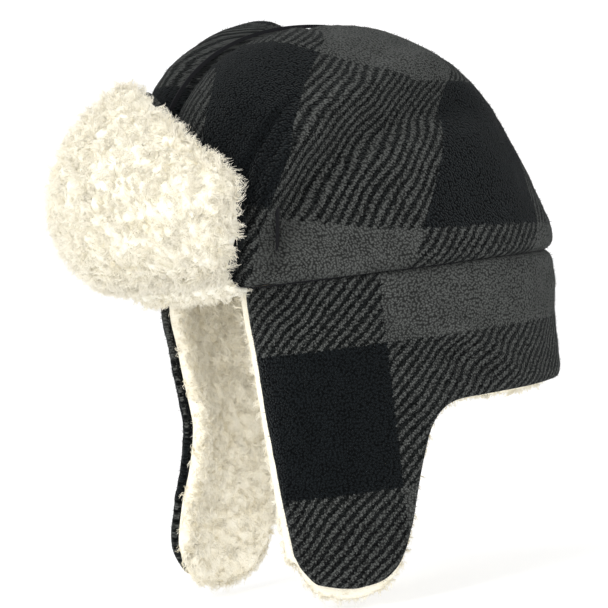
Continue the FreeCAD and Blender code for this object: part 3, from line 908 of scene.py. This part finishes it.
def build_lower(side, flip, seed, splay):
    """One half of the band with its ear flap, as one cloth and one lining."""

    def bend(piece):
        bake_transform(piece)

    grid, normals = lower_surface(220, 130, seed, splay)
    uv_maps = lower_cloth(grid)
    shell, face, out = cloth_piece(
        "earflap_and_band_" + side + "_cloth", grid, normals,
        (0.004, 0.012, 0.0030, 0.008), uv_maps, seed + 2, flip)
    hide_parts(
        "neck_band_shell", "neck_band_wadding",
        "earflap_shell_" + side, "earflap_wadding_" + side)
    bend(shell)
    bend(cloth_fuzz("earflap_and_band_nap_" + side, face, out, uv_maps["blocks"], 8000, seed + 3))
    grid, normals = lower_surface(210, 130, seed, splay, overhang=LINING_OVERHANG)
    depth = (LINING[0] + LINING[1]) / 2.0
    half = (LINING[1] - LINING[0]) / 2.0
    lining, face, out, pile = sherpa_piece(
        "earflap_and_band_" + side + "_pile", grid - normals * depth, normals, half,
        (0.003, 0.006, 0.004, 0.007), 0.0036, seed + 4, -1, flip, sherpa_lining_shade_copy)
    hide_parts("neck_band_lining", "earflap_lining_" + side)
    bend(lining)
    bend(sherpa_fuzz("earflap_and_band_fuzz_" + side, face, out, pile, 2600, 6, 0.0046, seed + 5, 0.18))
    bend(rim_fuzz(
        "earflap_and_band_rim_" + side, grid - normals * depth, normals, half,
        900, 7, 0.0042, seed + 6, flip))


def build_front(seed):
    """The front flap: plaid backing against the crown and a thick sherpa facing."""
    rows, columns = 180, 70
    outer, _ = front_grid(rows, columns, 0.0025, 0.0)
    normals = normals_of(outer, np.array([0.0, 0.0, 0.05]))
    steps = edge_distances(outer)
    uv_maps = {
        "cloth": np.stack([steps[0], steps[2]], axis=-1),
        "blocks": np.stack([steps[0] / 0.075 + 0.4, steps[2] / 0.075 + 0.2], axis=-1),
    }
    inner = outer - normals * 0.0025 * roundness(outer, (0.002, 0.002, 0.002, 0.002))[..., None]
    backing = sheet_mesh("front_flap_backing_cloth", outer, inner, plaid, uv_maps)
    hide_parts("front_flap_backing")
    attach(backing, "front_flap")
    mid, thickness = front_grid(250, 140, FACING_START, 0.44, swell=0.001)
    normals = normals_of(mid, np.array([0.0, 0.0, 0.05]))
    mid = mid + normals * (0.0035 * smooth_noise(mid, 0.030, seed + 8))[..., None]
    normals = normals_of(mid, np.array([0.0, 0.0, 0.05]))
    facing, face, out, pile = sherpa_piece(
        "front_flap_facing_pile", mid, normals, thickness[..., None] / 2.0,
        (0.013, 0.013, 0.020, 0.009), 0.0058, seed, 1)
    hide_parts("front_flap_facing", "front_flap_stiffener")
    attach(facing, "front_flap")
    fuzz = sherpa_fuzz("front_flap_fuzz", face, out, pile, 3600, 8, 0.0056, seed + 1)
    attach(fuzz, "front_flap")


def build_brow_fold(seed):
    """The sherpa's fold under the crown's edge at the brow, from the lining to the front flap."""
    angle = (BROW_FOLD_ANGLE * (2.0 * spaced(150) - 1.0))[:, None]
    turn = (BROW_FOLD_TURN * spaced(60))[None, :]
    distance = BROW_FOLD_REACH * np.cos(turn) - 0.001
    mid = beyond_crown(angle + 0.0 * turn, np.zeros_like(angle + turn), distance)
    mid[..., 2] = 0.006 - BROW_FOLD_DROP * np.sin(turn)
    normals = normals_of(mid, np.array([0.0, -0.12, 0.03]))
    below = normals[..., 2].mean() < 0.0
    piece, face, out, pile = sherpa_piece(
        "brow_fold_pile", mid, normals if below else -normals, 0.0022,
        (0.006, 0.006, 0.004, 0.004), 0.0034, seed, 1)
    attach(piece, "crown_and_band")
    fuzz = sherpa_fuzz("brow_fold_fuzz", face, out, pile, 420, 7, 0.0045, seed + 1)
    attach(fuzz, "crown_and_band")


build_crown("left", False, 11)
build_crown("right", True, 41)
build_lower("left", False, 71, 0.0)
build_lower("right", True, 101, FAR_FLAP_SPLAY)
build_front(131)
build_brow_fold(161)
for name, node in frame["nodes"].items():
    if "seam" in name:
        node.data.materials.clear()
        node.data.materials.append(thread)


# ---- stage, light and camera ---------------------------------------------------

def build_stage():
    """A pale floor that curves up into a wall all round."""
    floor_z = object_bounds()[0][2] - FLOOR_GAP
    profile = [(0.0, 0.0), (FLOOR_RADIUS, 0.0)]
    for step in range(1, 13):
        angle = math.radians(90.0 * step / 12)
        profile.append((FLOOR_RADIUS + WALL_CURVE * math.sin(angle), WALL_CURVE * (1.0 - math.cos(angle))))
    profile.append((FLOOR_RADIUS + WALL_CURVE, WALL_TOP))
    around = 96
    points = []
    for radius, height in profile:
        for turn in range(around):
            angle = 2.0 * math.pi * turn / around
            points.append((radius * math.cos(angle), radius * math.sin(angle), floor_z + height))
    faces = []
    for ring in range(len(profile) - 1):
        for turn in range(around):
            following = (turn + 1) % around
            here = ring * around
            faces.append((here + turn, here + around + turn, here + around + following, here + following))
    mesh = bpy.data.meshes.new("studio_floor")
    mesh.from_pydata(points, [], faces)
    mesh.shade_smooth()
    shader = Shader("studio_white")
    shader.surface.inputs["Base Color"].default_value = (0.5, 0.5, 0.5, 1.0)
    shader.surface.inputs["Roughness"].default_value = 1.0
    shader.surface.inputs["Specular IOR Level"].default_value = 0.0
    shader.surface.inputs["Emission Color"].default_value = (1.0, 1.0, 1.0, 1.0)
    shader.surface.inputs["Emission Strength"].default_value = 0.60
    mesh.materials.append(shader.material)
    floor = bpy.data.objects.new("studio_floor", mesh)
    bpy.context.scene.collection.objects.link(floor)


def add_light(name, position, size, power):
    """A soft round lamp that faces the hat."""
    data = bpy.data.lights.new(name, "AREA")
    data.shape = "DISK"
    data.size = size
    data.energy = power
    lamp = bpy.data.objects.new(name, data)
    lamp.location = position
    lamp.rotation_euler = (Vector((0.0, 0.0, -0.02)) - Vector(position)).to_track_quat("-Z", "Y").to_euler()
    bpy.context.scene.collection.objects.link(lamp)


VIEW_AZIMUTH = math.radians(60.0)
VIEW_ELEVATION = math.radians(1.0)
VIEW_ROLL = math.radians(7.0)
VIEW_DISTANCE = 1.5
VIEW_WIDTH = 0.351
AIM_RIGHT = -0.0310
AIM_UP = -0.0146


def build_camera():
    """Camera beside the brow, level with the band and rolled a little."""
    sine, cosine = math.sin(VIEW_AZIMUTH), math.cos(VIEW_AZIMUTH)
    level = math.cos(VIEW_ELEVATION)
    away = Vector((sine * level, -cosine * level, math.sin(VIEW_ELEVATION)))
    right = Vector((cosine, sine, 0.0))
    up = away.cross(right)
    position = away * VIEW_DISTANCE
    aim = right * AIM_RIGHT + up * AIM_UP
    backward = (position - aim).normalized()
    rolled_up = up * math.cos(VIEW_ROLL) + right * math.sin(VIEW_ROLL)
    sideways = rolled_up.cross(backward).normalized()
    rolled_up = backward.cross(sideways)
    data = bpy.data.cameras.new("camera")
    data.sensor_width = 36.0
    data.lens = 36.0 * VIEW_DISTANCE / VIEW_WIDTH
    camera = bpy.data.objects.new("camera", data)
    turned = Matrix((sideways, rolled_up, backward)).transposed().to_4x4()
    camera.matrix_world = Matrix.Translation(position) @ turned
    bpy.context.scene.collection.objects.link(camera)
    bpy.context.scene.camera = camera


build_stage()
add_light("key_light", (0.7, -1.9, 1.5), 0.8, 21.0)
add_light("fill_light", (1.25, -0.95, -0.05), 0.7, 9.0)
add_light("top_light", (-0.3, -0.2, 1.9), 1.0, 6.0)
add_light("rear_light", (0.6, 1.6, 0.9), 1.0, 3.0)
build_camera()

world = bpy.data.worlds.new("studio")
world.use_nodes = True
world.node_tree.nodes["Background"].inputs["Color"].default_value = (1.0, 1.0, 1.0, 1.0)
world.node_tree.nodes["Background"].inputs["Strength"].default_value = 0.5
bpy.context.scene.world = world
bpy.context.scene.view_settings.view_transform = "Standard"
